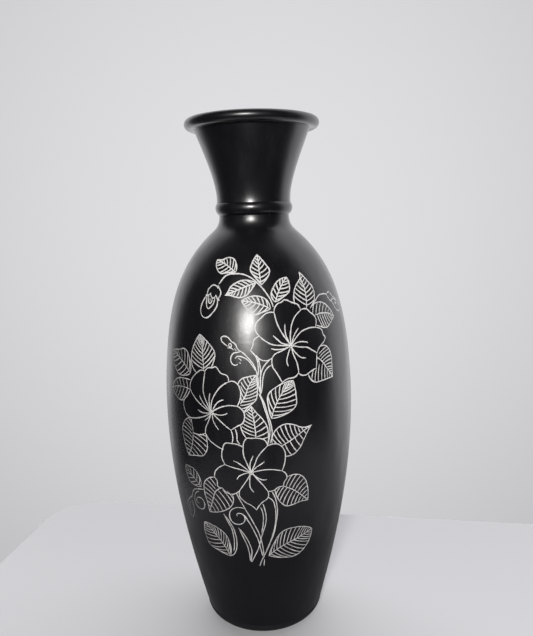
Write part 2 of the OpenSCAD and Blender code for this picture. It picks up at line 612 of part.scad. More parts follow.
base_disc();
lower_wall();
upper_wall();
collar_bead();
neck();
lip_roll();
flower_upper();
flower_left();
flower_lower();
leaf_crown_left();
leaf_crown_top();
leaf_crown_mid();
leaf_crown_low();
leaf_top_small();
leaf_top_large();
leaf_top_right();
leaf_right_high();
leaf_left_top();
leaf_left_outer();
leaf_left_mid();
leaf_left_fold();
leaf_mid_left();
leaf_mid_centre();
leaf_mid_right();
leaf_mid_low();
leaf_low_right();
leaf_low_left();
leaf_low_fold();
leaf_base_left();
leaf_base_right();
bud_left();
bud_right();
bud_small();
bud_faint();
stem_crown();
stem_upper();
stem_middle();
stem_lower();
stem_base_left();
tendril_upper();
tendril_left();
tendril_lower();
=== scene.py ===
"""Looks of the tall black clay vase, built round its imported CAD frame.

Six clay pieces take the place of the plain CAD revolves, and the two body walls carry real
grooves on the front. Thirty-six powder pieces fill the grooves, one for each engraved motif.
Decoration points are (arc length round the body, height) in millimetres, as in the CAD source.
Everything else is in metres, +Z up, and the engraved front looks to -Y.
"""

import functools
import math

import bpy
from mathutils import Matrix, Vector, geometry, noise


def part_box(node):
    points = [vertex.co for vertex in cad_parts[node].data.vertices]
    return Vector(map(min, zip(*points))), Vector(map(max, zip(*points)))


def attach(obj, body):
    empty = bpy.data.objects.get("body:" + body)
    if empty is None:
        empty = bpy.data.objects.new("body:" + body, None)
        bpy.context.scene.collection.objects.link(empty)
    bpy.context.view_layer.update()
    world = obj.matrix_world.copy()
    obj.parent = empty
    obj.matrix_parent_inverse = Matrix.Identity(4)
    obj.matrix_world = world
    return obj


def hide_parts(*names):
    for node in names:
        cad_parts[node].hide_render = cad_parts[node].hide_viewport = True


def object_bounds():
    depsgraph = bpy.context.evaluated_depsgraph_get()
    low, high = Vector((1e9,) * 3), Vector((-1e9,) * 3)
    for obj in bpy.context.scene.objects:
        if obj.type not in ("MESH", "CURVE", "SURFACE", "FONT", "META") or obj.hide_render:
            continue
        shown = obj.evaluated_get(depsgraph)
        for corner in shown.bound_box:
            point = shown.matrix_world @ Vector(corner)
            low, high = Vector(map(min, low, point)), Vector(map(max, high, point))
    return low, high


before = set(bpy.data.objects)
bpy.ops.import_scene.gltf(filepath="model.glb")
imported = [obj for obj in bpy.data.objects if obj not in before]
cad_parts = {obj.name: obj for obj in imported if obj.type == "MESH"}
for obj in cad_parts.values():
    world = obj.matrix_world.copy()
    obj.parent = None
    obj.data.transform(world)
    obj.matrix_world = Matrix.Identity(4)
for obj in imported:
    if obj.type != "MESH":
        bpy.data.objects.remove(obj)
cad_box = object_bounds()
HEIGHT = cad_box[1].z
BODY = "root"
MM = 0.001
TINY = 1e-7
DIGITS = 7
WELD_TURN = 1e6
WELD_PLACE = 1e7
FULL = 2 * math.pi

# Lathe and front patch
COLUMNS = 240
TURN = FULL / COLUMNS
PATCH_HALF = 54
ROW_STEP = 2.0 * MM
BODY_STEP = 0.25 * MM
RIM_STEP = 0.7 * MM
INNER_STEP = 5.0 * MM
PATCH_LOW = 64 * MM
PATCH_HIGH = 306 * MM
FLAT_RADIUS = 74
STRAIGHT = math.radians(0.02)
CORNER = math.radians(30)

# Engraved lines, millimetres
LINE_HALF = (0.32, 0.43)
FINE_BELOW = 110
BOLD_ABOVE = 280
LINE_STEP = 0.8
WIDTH_PLAY = 0.4
WIDTH_WAVE = 2.5
WIDTH_LAYER = 7
PATH_PLAY = 0.16
PATH_WAVE = 6.0
TIP_SHARE = 0.6
TIP_LENGTH = 2.2
CAP_PARTS = 4
HEART_RING = 1.5
HEART_PARTS = 8
VEIN_HEAD = 0.3
VEIN_SPARE = 0.4
VEIN_BOW = 0.05
VEIN_END = 0.97
LEAN = (0.2, 0.2)
LEAN_FADE = 2.5
GRID_CLEAR = 1.2
SEED_STEP = 0.37
NOISE_SEED = 1

# Groove and powder depths
GROOVE = 0.5 * MM
POWDER_TOP = 0.08 * MM
POWDER_PLAY = 0.05 * MM
POWDER_FLOOR = 0.48 * MM
GRAIN = 1.3 * MM

# ---- the engraved bouquet: given points, arc length and height in millimetres ----
# Petal edges run on from the first corner; rays fold the petals from the heart.
FLOWERS = {
    "flower_upper": dict(
        heart=(24.8, 239), corner=(13, 262),
        edges=[
            [(14, 266), (16, 268), (18, 268.5), (20.5, 270), (26, 268), (31, 266), (33, 262)],
            [(38, 262.5), (41, 260), (45, 257), (46.5, 253), (45, 249)],
            [(49, 248), (52, 246), (53, 243), (55, 240.5), (53.5, 238), (50, 236), (46, 231)],
            [(45.5, 226), (45, 220.5)], [(40, 219), (35.5, 217), (32, 217.5), (30, 219.5)],
            [(27.5, 217), (21.5, 216), (17.5, 214)], [(14, 220.5), (11, 225.5), (11, 231.5)],
            [(8, 230), (4, 230), (1, 232), (-4, 237)], [(-2.5, 240), (-1, 244.5), (2.5, 246.5)],
            [(0, 250), (0, 255), (4, 259), (8, 262), (13, 262)],
        ],
        rays=[
            [(21, 244), (17, 250), (14.5, 256), (13, 262)], [(24.5, 247), (26, 254), (29, 259), (33, 262)],
            [(29, 244), (33, 247.5), (38, 249), (45, 249)], [(32, 237), (38, 236), (42, 233.5), (46, 231)],
            [(26.5, 232), (29, 226), (30, 219.5)], [(17, 235.5), (13, 234), (11, 231.5)],
            [(17, 239.5), (11, 240.5), (6, 243.5), (2.5, 246.5)],
        ],
        stamens=[
            [(24, 240), (21.5, 245), (20.5, 249), (20.5, 253.5)],
            [(23, 240), (18, 241), (15, 243.5), (12, 246.5)],
            [(23, 238), (17, 236.8), (13, 237), (10.5, 237.8)],
            [(24, 237), (22, 232), (21.3, 228), (22.3, 225)],
            [(25.5, 237), (28.5, 233), (32, 230), (36, 229)],
            [(26.5, 239), (30, 240.5), (34, 240.5), (38, 239.5)], [(25.5, 240.5), (27, 245), (30.5, 250)],
        ],
    ),
    "flower_left": dict(
        heart=(-34.2, 192), corner=(-26, 165.5),
        edges=[
            [(-32, 168), (-37.5, 171.8), (-40, 176)], [(-46, 173.5), (-52, 174)],
            [(-52.5, 179), (-54, 185)], [(-58.5, 187), (-61, 191), (-61, 196), (-56.5, 201), (-53, 206)],
            [(-53, 210), (-51.5, 213.5), (-46, 219), (-42, 221.5), (-38.5, 221)],
            [(-35, 224), (-32.5, 224), (-30, 225), (-26, 221), (-21, 219), (-20, 215)],
            [(-16.5, 215.5), (-13.5, 213.5), (-12, 210), (-12, 204), (-14.5, 198)],
            [(-10, 194), (-9.5, 190), (-11, 186), (-15, 183.5), (-19.5, 180.5)],
            [(-18.5, 176), (-19.3, 170.5)],
        ],
        rays=[
            [(-34, 199), (-30.5, 206), (-26, 211.5), (-20, 215)],
            [(-38.5, 200), (-40.5, 206), (-40, 214), (-38.5, 221)], [(-43, 196.5), (-49, 201), (-53, 206)],
            [(-41, 188), (-47, 186), (-54, 185)], [(-37, 185), (-39.5, 180), (-40, 176)],
            [(-28, 187), (-23, 183), (-19.5, 180.5)], [(-28, 196), (-22, 198), (-14.5, 198)],
        ],
        stamens=[
            [(-35, 194), (-35.8, 200), (-35, 205.5)],
            [(-36, 193.5), (-40, 197), (-42.5, 200), (-44, 202.8)],
            [(-36, 191.5), (-41, 190.8), (-44, 191.3), (-46, 192.3)],
            [(-35, 190.5), (-37.5, 187.5), (-40, 185.5)],
            [(-33.5, 190), (-33, 186), (-31, 182.5), (-29, 180)],
            [(-32.5, 191.5), (-28, 190.8), (-24.5, 191.3), (-22, 192.5)],
            [(-33, 194), (-30.5, 198), (-28, 200.5), (-24.5, 202)],
        ],
    ),
    "flower_lower": dict(
        heart=(-6, 149), corner=(-11, 168),
        edges=[
            [(-10, 173), (-8.5, 175), (-5, 175), (-1, 175), (4, 173.5), (6, 169)],
            [(9, 170), (13, 170), (16, 168), (18.5, 163), (18.5, 158), (17.5, 153), (16, 149)],
            [(18.5, 147), (19.5, 143.5), (17.5, 140), (17, 137)], [(13, 136.5), (10, 134.5), (5.5, 134)],
            [(5.5, 129), (1, 125), (-3, 119)], [(-5, 121.5), (-11, 125.5), (-15, 130), (-14.5, 135)],
            [(-19, 131.5), (-22, 131), (-25, 132), (-28, 135)], [(-32, 136), (-32, 139.5), (-34, 142.5)],
            [(-34, 145), (-28, 152.5), (-25, 154)],
            [(-27, 158), (-26.5, 166), (-24.5, 170), (-19, 170.5), (-15, 170), (-11, 168)],
        ],
        rays=[
            [(-8.5, 155), (-11, 162), (-11, 168)], [(-3.5, 155), (-1, 161), (3, 166), (6, 169)],
            [(0, 150.5), (5, 151), (11, 150.5), (16, 149)], [(-1, 143), (3, 138), (5.5, 134)],
            [(-9, 143.5), (-12, 139), (-14.5, 135)], [(-13, 151), (-20, 152.5), (-25, 154)],
        ],
        stamens=[
            [(-6.2, 150), (-6.5, 156), (-5.5, 159), (-4.3, 161.8)],
            [(-5, 150), (-2.5, 153), (0.5, 155), (3.5, 157.3)],
            [(-4.5, 148), (-1, 144.5), (2, 143.3), (5, 143.5)],
            [(-6.8, 147), (-7.3, 142), (-7, 137.5), (-4.5, 133.5)],
            [(-7.5, 149), (-12, 147.5), (-14.5, 146), (-16.5, 143.3)],
            [(-7.5, 150), (-11.5, 153.5), (-15, 156), (-18.5, 157.5)],
        ],
    ),
}
# Sides a and b, midrib and veins (side a, side b); lean slants the veins to the tip.
LEAVES = {
    "leaf_crown_left": dict(
        foot=(-13.5, 289.5), tip=(-28, 297.8), veins=(8, 7),
        a=[(-12.7, 294.5), (-15, 298.6), (-19, 299.2), (-23.5, 297.8)],
        b=[(-20, 289), (-25.5, 289), (-28, 291.5)], rib=[(-18, 292.8), (-23, 295.8)],
    ),
    "leaf_crown_top": dict(
        foot=(4.6, 280.8), tip=(2, 301), veins=(8, 7),
        a=[(0.5, 285.8), (-2.8, 291), (-1.5, 295.5)], b=[(8.6, 285), (10.6, 290.2), (7.5, 294.8)],
        rib=[(3.5, 288), (3, 294)],
    ),
    "leaf_crown_mid": dict(
        foot=(0.7, 282.2), tip=(-21.3, 273.9), veins=(8, 9),
        a=[(-4, 284), (-9, 283.9), (-14.3, 281.8), (-17.5, 279.2), (-19, 276.5)],
        b=[(-3, 277), (-6.8, 273.6), (-10.2, 272.7), (-14.3, 273.1), (-17.7, 273.9)],
        rib=[(-6, 280), (-12, 277.7)],
    ),
    "leaf_crown_low": dict(
        foot=(10.5, 264.5), tip=(-9.5, 270.5), veins=(7, 7),
        a=[(8, 270.5), (1, 273.5), (-5, 272.7)], b=[(5, 262.6), (-1, 261.2), (-5, 264.4)],
        rib=[(6, 267), (0, 269)],
    ),
    "leaf_top_small": dict(
        foot=(14, 269), tip=(23, 285), veins=(6, 7),
        a=[(11.5, 273), (13, 279), (16.5, 283)], b=[(20, 272), (24.7, 276), (24.8, 280)],
        rib=[(16, 274), (19, 280)],
    ),
    "leaf_top_large": dict(
        tip=(33.6, 287.7), veins=(8, 9), lean=(0.17, 0.1),
        a=[(28.6, 266.5), (28.1, 273), (29.3, 277.4), (32, 281.1), (34.1, 283.8)],
        b=[(42.8, 264.6), (46, 267.7), (46.5, 272), (45.3, 276.5), (41.8, 280.3)],
        rib=[(38.1, 263), (38.5, 268), (38.2, 272.3), (37.3, 276.8), (34.4, 283.8)],
    ),
    "leaf_top_right": dict(
        tip=(68.7, 253.5), veins=(8, 9), lean=(0.05, 0.22),
        a=[(41.6, 262.8), (45, 265), (50, 265.9), (56, 264.5), (61.1, 261.4)],
        b=[(46.8, 250.2), (51, 248.7), (54.2, 247.7), (58.9, 247.6), (63, 250)],
        rib=[(46.4, 257.3), (49.4, 257.9), (54.1, 257.9), (60.2, 256.9)],
        root_a=[(42, 261), (46.4, 257.7), (54.1, 257.9), (60.2, 256.9)],
    ),
    "leaf_right_high": dict(
        tip=(62, 211), veins=(11, 8), lean=(0.17, 0.12),
        a=[(49.5, 235), (54, 235), (58.5, 232), (61, 227), (61.5, 219)],
        b=[(38, 217), (40, 213), (43, 211), (50, 210.5), (56, 211)],
        rib=[(45.5, 228), (51, 224), (56, 218)], root_a=[(48, 231.5), (48.5, 227), (52, 223), (57, 217)],
        root_b=[(40, 218.5), (45, 220), (49, 223), (53, 221), (57, 217)],
    ),
    "leaf_left_top": dict(
        tip=(-42.5, 246.5), veins=(10, 9), lean=(0.27, 0.25),
        a=[(-46, 219), (-50, 223), (-51, 231), (-48, 239)],
        b=[(-33.5, 224), (-31, 229), (-30, 234.5), (-34, 240)],
        rib=[(-39.5, 221), (-40, 230), (-40.5, 238)],
    ),
    "leaf_left_outer": dict(
        foot=(-52.5, 218), tip=(-77, 231), veins=(8, 8),
        a=[(-53, 228), (-57, 234), (-66, 233)], b=[(-60, 215), (-68, 215.5), (-74, 221)],
        rib=[(-59, 223.5), (-67, 228)],
    ),
    "leaf_left_mid": dict(
        tip=(-79, 202.5), veins=(6, 6), lean=(0.05, 0.05),
        a=[(-53, 213), (-60, 213), (-67, 212), (-73, 209)], b=[(-61, 197), (-68, 196), (-74, 199)],
        rib=[(-53, 206), (-62, 206.5), (-71, 205)],
    ),
    "leaf_left_fold": dict(
        tip=(-58.5, 154.5), veins=(10, 8), lean=(0, 0),
        a=[(-54, 185), (-61, 181), (-64.5, 174), (-63, 166)],
        b=[(-40, 176), (-39, 170), (-39.5, 163), (-43, 158), (-50, 156.5)],
        rib=[(-52, 174), (-53, 167), (-55.5, 160)],
        root_a=[(-54, 183), (-53.5, 176), (-53.5, 168), (-56, 160)],
        root_b=[(-43, 173.5), (-51, 172), (-53, 166), (-55.5, 160)],
    ),
    "leaf_mid_left": dict(
        tip=(-0.5, 220), veins=(8, 11), lean=(0.05, 0.2),
        a=[(-13.5, 213.5), (-10.5, 217.5), (-6, 219)],
        b=[(-10, 194), (-5, 199), (-1, 203), (0, 208), (0, 214)],
        rib=[(-12, 200), (-8.5, 205.5), (-6.5, 211)],
        root_b=[(-10.5, 194.5), (-12, 200), (-8.5, 205.5), (-6.5, 211)],
        edge_a=[(-12, 204), (-11.5, 210), (-10.5, 216.5), (-6, 218.5)],
    ),
    "leaf_mid_centre": dict(
        tip=(-4.5, 198.5), veins=(9, 8), lean=(0.12, 0.12),
        a=[(-10, 193.5), (-7, 195.5)], b=[(6, 169), (7, 177), (6, 183.5), (3, 189), (-1, 193.5)],
        rib=[(-2, 175), (-2.5, 184), (-3.5, 191)], root_b=[(4, 174), (-1, 176), (-2.5, 182), (-3.5, 190)],
        edge_a=[(-9, 176.5), (-11.5, 181), (-11, 186), (-9, 191), (-7, 195.5)],
        extra=[(-8.5, 175), (-11.5, 180), (-12.5, 184)],
    ),
    "leaf_mid_right": dict(
        foot=(9.5, 189), tip=(25.5, 214.5), veins=(9, 10), lean=(0.25, 0.29),
        a=[(7.5, 197), (7.5, 206), (14, 211.5)], b=[(19, 191), (27, 196), (27.5, 205)],
        rib=[(12, 197), (17, 206)],
    ),
    "leaf_mid_low": dict(
        tip=(39.5, 180), veins=(11, 6), lean=(0.05, 0.05),
        a=[(9.5, 170), (10.5, 178), (14, 182), (20, 184), (26, 182.5), (31, 180)],
        b=[(18.5, 160), (24, 160.5), (29, 164), (33, 170), (37, 177)],
        rib=[(16, 168), (24, 172), (31, 176)],
        root_a=[(11.5, 170), (16.5, 169.5), (20, 170.5), (25, 172.5), (31, 176)],
    ),
    "leaf_low_right": dict(
        tip=(36, 121.5), veins=(9, 10), lean=(0.05, 0.05),
        a=[(19.5, 143.5), (25, 145), (30, 143.5), (34, 139), (36, 132)],
        b=[(10.5, 135), (12, 129), (15, 123.5), (19, 120.5), (25, 121), (31, 122)],
        rib=[(17, 137), (24, 133), (30, 128)], root_b=[(12.5, 136), (18, 136.5), (24, 132.5), (30, 127.5)],
    ),
    "leaf_low_left": dict(
        foot=(-47, 132), tip=(-64, 145), veins=(6, 6),
        a=[(-48.5, 140), (-53, 144.5), (-58, 145.5)], b=[(-54, 131), (-60, 133), (-63, 138)],
        rib=[(-53, 136.5), (-59, 140.5)],
    ),
    "leaf_low_fold": dict(
        tip=(-40.5, 112.5), veins=(9, 8), lean=(0.05, 0.05),
        a=[(-34, 142.5), (-40, 140.5), (-44, 135), (-44, 128), (-42, 121)],
        b=[(-20.5, 131), (-20, 125), (-22.5, 120), (-28, 116), (-33, 114)],
        rib=[(-28.5, 135), (-34, 131), (-36.5, 124)], root_a=[(-33, 138), (-34.5, 131.5), (-37, 124)],
        root_b=[(-22, 131.5), (-28, 133.5), (-34, 130), (-36.5, 123)],
    ),
    "leaf_base_left": dict(
        foot=(-24.5, 76.5), tip=(-46.5, 101.5), veins=(13, 10),
        a=[(-24, 86), (-28, 96), (-36, 100.5)], b=[(-34, 79), (-43, 82.5), (-46.5, 90)],
        rib=[(-30, 86.5), (-37, 94)],
    ),
    "leaf_base_right": dict(
        foot=(5, 79), tip=(40, 95.5), veins=(13, 13),
        a=[(9.5, 91), (16, 99.5), (26, 101)], b=[(15, 76), (26, 75.5), (35, 82)],
        rib=[(15, 86.5), (26, 90.5)],
    ),
}
LINES = {
    "bud_left": [
        [(-26.7, 280.3), (-25.9, 279.5), (-26.7, 278.7), (-27.5, 279.5), (-26.7, 280.3)],
        [(-27.5, 279.8), (-30.6, 280.7), (-33.3, 279.1), (-35.4, 276.6), (-35.7, 274.6)],
        [(-35.7, 274.6), (-37, 273.5)], [(-37, 273.5), (-34.3, 274), (-32.8, 275.2)],
        [(-32.8, 275.2), (-32.5, 273.1), (-30.9, 271.8), (-29.4, 272.7), (-28.6, 274)],
        [(-28.6, 274), (-27.7, 272.2), (-26.1, 270.2)], [(-26.1, 270.2), (-26.4, 272.4)],
        [(-26.4, 272.4), (-24.9, 274.2), (-24.7, 276.4), (-25.6, 278.2), (-26.1, 279)],
        [(-36.2, 273.4), (-39.1, 270.1), (-41.1, 266.4), (-41.8, 263.1), (-40.8, 259.9), (-38.4, 258.3),
            (-35.7, 258.5), (-32.6, 260.7), (-29.6, 263.7), (-27.9, 266.4), (-27.3, 269), (-27.4, 271.2)],
        [(-35.9, 273), (-36.4, 269.5), (-36.2, 266.1), (-35.2, 264.7), (-33, 265.8), (-30.9, 267.7),
            (-29.9, 270), (-29.3, 272.4)],
        [(-34.4, 273.3), (-34.8, 270), (-33.7, 268.1), (-32.3, 269.1), (-31.5, 271.6)],
        [(-33.4, 271.5), (-33.4, 270)],
    ],
    "bud_right": [
        [(61.2, 269.9), (65.3, 271.3), (68.4, 269.3), (71.5, 267.1)],
        [(71.5, 267.1), (69.6, 265.8), (66.8, 264.9), (63.2, 267.4), (61.2, 269.9)],
        [(71.5, 267.1), (77.7, 264.3), (82.1, 260.5), (85, 257.4), (80.9, 256), (77.2, 256.5),
            (73.3, 258.9), (70.2, 262.2), (66.8, 264.9)],
        [(69.6, 265.7), (73.8, 264.9), (77.2, 262), (74.1, 262.1), (72.7, 263.5)],
    ],
    "bud_small": [
        [(-20.1, 239.9), (-22.6, 241.3), (-24.5, 243.3), (-24.8, 245.1), (-23.5, 246.4), (-21.5, 246.5),
            (-19.6, 245.6), (-18.2, 244.2), (-17.1, 242.9), (-15.2, 242), (-14, 240.3), (-13.2, 238.4),
            (-11.4, 236.7)],
        [(-19.3, 240.6), (-18.2, 241.7), (-17.3, 240.5), (-17.6, 239.1), (-18.9, 239.5), (-19.3, 240.6)],
        [(-20.1, 238.5), (-17.6, 238.5), (-16, 237.4)], [(-15.1, 238.2), (-13.9, 236.8)],
    ],
    "bud_faint": [
        [(-59, 120), (-64, 115), (-67, 110), (-65, 104), (-61, 100)],
        [(-61, 100), (-58, 105), (-58, 112), (-59, 116)], [(-61.5, 114), (-63.5, 109), (-61.5, 105)],
    ],
    "stem_crown": [
        [(-26, 281.5), (-24, 284), (-20, 287.5), (-14, 288.5), (-8, 288), (-3, 286), (3, 281), (8, 275),
            (11.5, 269), (12.5, 266)],
        [(45.4, 265.8), (48.3, 268.4), (51.6, 270.6), (55.5, 270.9), (61.2, 269.9)],
    ],
    "stem_upper": [
        [(-11.4, 236.7), (-8, 234.4), (-5.2, 231.4), (-2.6, 228), (-0.7, 224), (0.5, 219), (1, 212),
            (2, 207)],
        [(0.2, 233.6), (1.3, 231), (2.1, 227.5), (2.5, 222.5), (2.2, 216), (2.1, 209)],
        [(-3.8, 236.8), (0, 232), (1, 226), (1, 220)],
        [(9, 230), (5, 226), (3, 221.5), (2.3, 215), (2, 207)],
        [(10, 226.5), (6, 223), (4, 217), (3.2, 210), (2, 206)],
    ],
    "stem_middle": [
        [(1, 207), (3, 202), (5, 195), (7, 188), (8, 182), (7.5, 175), (6, 170)],
        [(2, 206), (4.5, 200), (6.5, 193), (8.5, 186), (9.5, 180), (9.5, 176), (8, 171)],
        [(-16.5, 181.5), (-15.3, 177), (-15.3, 173), (-13.5, 170.5)],
    ],
    "stem_lower": [
        [(-17.5, 132), (-13.5, 124), (-10, 117), (-6, 109), (-2.5, 101), (-0.5, 94), (0.8, 86), (1.3, 78)],
        [(-12, 113.5), (-8.5, 108), (-5, 100), (-2.5, 93), (-1, 86), (0.3, 79)],
        [(1.5, 124), (3, 119), (3.8, 113), (2.8, 106), (0.5, 98), (-1, 92), (-2.5, 86), (-5, 80),
            (-8, 73.5)],
        [(0, 121), (1.5, 116), (1.5, 108), (0, 100)],
        [(5.8, 129), (9, 126), (10.5, 120), (10.8, 112), (9.8, 104), (7.5, 95), (4.5, 87), (1.8, 79.5)],
        [(8.5, 133.5), (10.5, 129), (11.8, 122), (11.8, 113), (10.5, 105), (9, 98), (6, 90), (3, 82)],
        [(-2, 70), (0, 76), (1.5, 79)], [(1, 70), (1.5, 76)],
    ],
    "stem_base_left": [
        [(-17, 103), (-13, 98), (-9.5, 91), (-7.5, 84), (-8, 77), (-8, 73.5)],
        [(-16, 101), (-13, 94), (-10.5, 87), (-9.3, 80), (-9, 74)],
        [(-28, 113), (-24, 108), (-20.5, 101), (-19, 94), (-18.8, 88), (-20, 82), (-21.5, 79),
            (-24.5, 76.5)],
        [(-28, 113.5), (-26, 109), (-22.5, 102), (-21, 95), (-20.8, 88), (-21.5, 82)],
    ],
    "tendril_upper": [
        [(-1.2, 223.4), (-3.3, 227), (-5.4, 229.8), (-8, 231.8), (-11.1, 232.9), (-13.8, 232.7),
            (-14.8, 231.7)],
        [(-12.7, 231.8), (-11.6, 231.1), (-10.7, 230)],
        [(-10.6, 236.3), (-13.2, 235.8), (-16.1, 235), (-17.7, 232.8), (-18, 230.3), (-17.1, 227.9),
            (-15.2, 226.8), (-13.2, 227.6)],
        [(-12, 228.6), (-10.9, 228.2)],
    ],
    "tendril_left": [
        [(-45, 130), (-50, 129), (-55, 127), (-58, 122), (-59.5, 118)],
        [(-50, 127), (-54, 124), (-55.5, 119), (-54, 114), (-50, 112), (-46, 113.5), (-44.8, 117),
            (-46.5, 121), (-50, 122), (-53, 120), (-53, 117), (-51, 116.5)],
    ],
    "tendril_lower": [
        [(-12, 120), (-16, 120.5), (-20.5, 119), (-23.3, 115), (-23, 110), (-20, 106.7), (-16, 106.3),
            (-13, 108), (-11.8, 111.5), (-13, 114.5), (-15.5, 115.7), (-18, 114.5), (-17.5, 113.5)],
        [(-15, 116), (-12, 114), (-9.5, 109)],
    ],
}


def put_in_scene(name, data):
    """A new object in the scene."""
    obj = bpy.data.objects.new(name, data)
    bpy.context.scene.collection.objects.link(obj)
    return obj


# ---- curves ----
def refined(run, step, straight_step=None):
    """Points and directions along a smooth curve through the run's points, about a step apart."""
    points = [Vector(p) for p in run]
    chords = [(q - p) for p, q in zip(points, points[1:])]
    units = [c.normalized() for c in chords]
    heads = []
    for i in range(1, len(units)):
        before, after = chords[i - 1].length, chords[i].length
        heads.append((units[i - 1] * after + units[i] * before).normalized())
    first = mirrored(heads[0], units[0]) if heads else units[0]
    last = mirrored(heads[-1], units[-1]) if heads else units[-1]
    heads = [first, *heads, last]
    gap = step if heads[1:-1] or straight_step is None else straight_step
    out = []
    for i, chord in enumerate(chords):
        parts = max(1, round(chord.length / gap))
        for k in range(parts):
            out.append(hermite(points[i], points[i + 1], heads[i], heads[i + 1], k / parts))
    out.append((points[-1], heads[-1]))
    return out


def mirrored(direction, axis):
    """A direction mirrored about an axis, which carries an arc's turn on past its end."""
    return (axis * (2 * axis.dot(direction)) - direction).normalized()


def hermite(p, q, head_p, head_q, t):
    """Point and direction at share t of the smooth piece from p to q."""
    length = (q - p).length
    s = 1 - t
    point = p * (s * s * (1 + 2 * t)) + q * (t * t * (3 - 2 * t))
    point += (head_p * (s * s * t) - head_q * (t * t * s)) * length
    slope = (q - p) * (6 * t * s)
    slope += (head_p * (s * (1 - 3 * t)) + head_q * (t * (3 * t - 2))) * length
    return point, slope.normalized()


# ---- profiles read from the frame ----
def seam_loop(node):
    """The revolve profile of a clay node as (radius, height) points, in order round its section."""
    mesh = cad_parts[node].data
    on_seam = {
        v.index: (round(v.co.x, DIGITS), round(v.co.z, DIGITS))
        for v in mesh.vertices
        if abs(v.co.y) < TINY and v.co.x > 0
    }
    links = {}
    for edge in mesh.edges:
        a, b = (on_seam.get(i) for i in edge.vertices)
        if a and b and a != b:
            links.setdefault(a, set()).add(b)
            links.setdefault(b, set()).add(a)
    left = set(links)
    here = min(left, key=lambda p: (len(links[p]), p[1], -p[0]))
    chain = []
    while here:
        chain.append(here)
        left.discard(here)
        here = min((p for p in links[here] if p in left), default=None)
    if chain[0] in links[chain[-1]]:
        chain.append(chain[0])
    return chain


def turning(a, b, c):
    """Angle by which the profile turns at b."""
    return (Vector(b) - Vector(a)).angle(Vector(c) - Vector(b), 0)


def runs_of(chain):
    """The chain without the points along its straight stretches, split where it turns sharply."""
    kept = chain[:1]
    for here, after in zip(chain[1:], chain[2:]):
        if turning(kept[-1], here, after) > STRAIGHT:
            kept.append(here)
    kept.append(chain[-1])
    runs = [kept[:2]]
    for before, here, after in zip(kept, kept[1:], kept[2:]):
        if turning(before, here, after) > CORNER:
            runs.append([here])
        runs[-1].append(after)
    return runs


def outer_run(node):
    """The outer face of a body wall: the long run that reaches furthest from the axis."""
    smooth = [r for r in runs_of(seam_loop(node)) if len(r) > 2]
    return max(smooth, key=lambda r: max(p[0] for p in r))


body_line = sorted(outer_run("lower_wall") + outer_run("upper_wall"), key=lambda p: p[1])
body_line = [p for p, q in zip(body_line, [*body_line[1:], (0, HEIGHT)]) if q[1] - p[1] > TINY]
BODY_POINTS = [p for p, _ in refined(body_line, BODY_STEP)]
BODY_LOW, BODY_HIGH = body_line[0][1], body_line[-1][1]
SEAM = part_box("upper_wall")[0].z


@functools.cache
def body_radius(z):
    """Outer radius of the body at a height."""
    low, high = 0, len(BODY_POINTS) - 1
    while high - low > 1:
        middle = (low + high) // 2
        if BODY_POINTS[middle].y <= z:
            low = middle
        else:
            high = middle
    a, b = BODY_POINTS[low], BODY_POINTS[high]
    return a.x + (b.x - a.x) * (z - a.y) / (b.y - a.y)


@functools.cache
def body_normal(z):
    """Outward and upward shares of the body's surface normal at a height."""
    low, high = max(z - MM, BODY_LOW), min(z + MM, BODY_HIGH)
    lean = (body_radius(high) - body_radius(low)) / (high - low)
    size = math.hypot(1, lean)
    return 1 / size, -lean / size


def place(turn, radius, z):
    """The point at an angle from the front, a radius and a height."""
    return radius * math.sin(turn), -radius * math.cos(turn), z


class Shell:
    """Welded corners, faces and corner normals of one piece."""

    def __init__(self):
        self.points, self.known, self.faces, self.normals, self.inner = [], {}, [], [], []

    def corner(self, turn, radius, z):
        """Index of the welded corner at this place."""
        key = (
            round(turn % FULL * WELD_TURN) % round(FULL * WELD_TURN) if radius > TINY else 0,
            round(radius * WELD_PLACE),
            round(z * WELD_PLACE),
        )
        if key not in self.known:
            self.known[key] = len(self.points)
            self.points.append(place(turn, radius, z))
        return self.known[key]

    def face(self, corners, shares=None, inner=False):
        """Adds a face of (turn, radius, z) corners. shares holds each corner's outward and upward
        normal shares; without them the face is flat."""
        ids = [self.corner(*c) for c in corners]
        keep = [i for i in range(len(ids)) if ids[i] != ids[i - 1]]
        if len(keep) < 3:
            return
        normals = [None] * len(keep)
        if shares:
            normals = [Vector(place(corners[i][0], *shares[i])) for i in keep]
        self.add([ids[i] for i in keep], normals, inner)

    def add(self, ids, normals=None, inner=False):
        """Adds a face of known corners."""
        self.faces.append(ids)
        self.normals.append(normals or [None] * len(ids))
        self.inner.append(inner)

    def piece(self, name, materials, shade=True):
        """The finished object."""
        mesh = bpy.data.meshes.new(name)
        mesh.from_pydata(self.points, [], self.faces)
        for material in materials:
            mesh.materials.append(material)
        if len(materials) > 1:
            mesh.polygons.foreach_set("material_index", [int(i) for i in self.inner])
        mesh.polygons.foreach_set("use_smooth", [True] * len(self.faces))
        mesh.update()
        if shade:
            flat = [p.normal.copy() for p in mesh.polygons]
            loops = [n or flat[f] for f, ns in enumerate(self.normals) for n in ns]
            mesh.normals_split_custom_set(loops)
        return put_in_scene(name, mesh)


def lathe(shell, run, step, inner=False):
    """Turns one run of a section, walked with the solid on its right, into rings of faces."""
    line = refined(run, step, INNER_STEP)
    for (p, dp), (q, dq) in zip(line, line[1:]):
        for column in range(COLUMNS):
            a, b = column * TURN, (column + 1) % COLUMNS * TURN
            corners = [(a, p.x, p.y), (a, q.x, q.y), (b, q.x, q.y), (b, p.x, p.y)]
            np, nq = (-dp.y, dp.x), (-dq.y, dq.x)
            shell.face(corners, [np, nq, nq, np], inner)


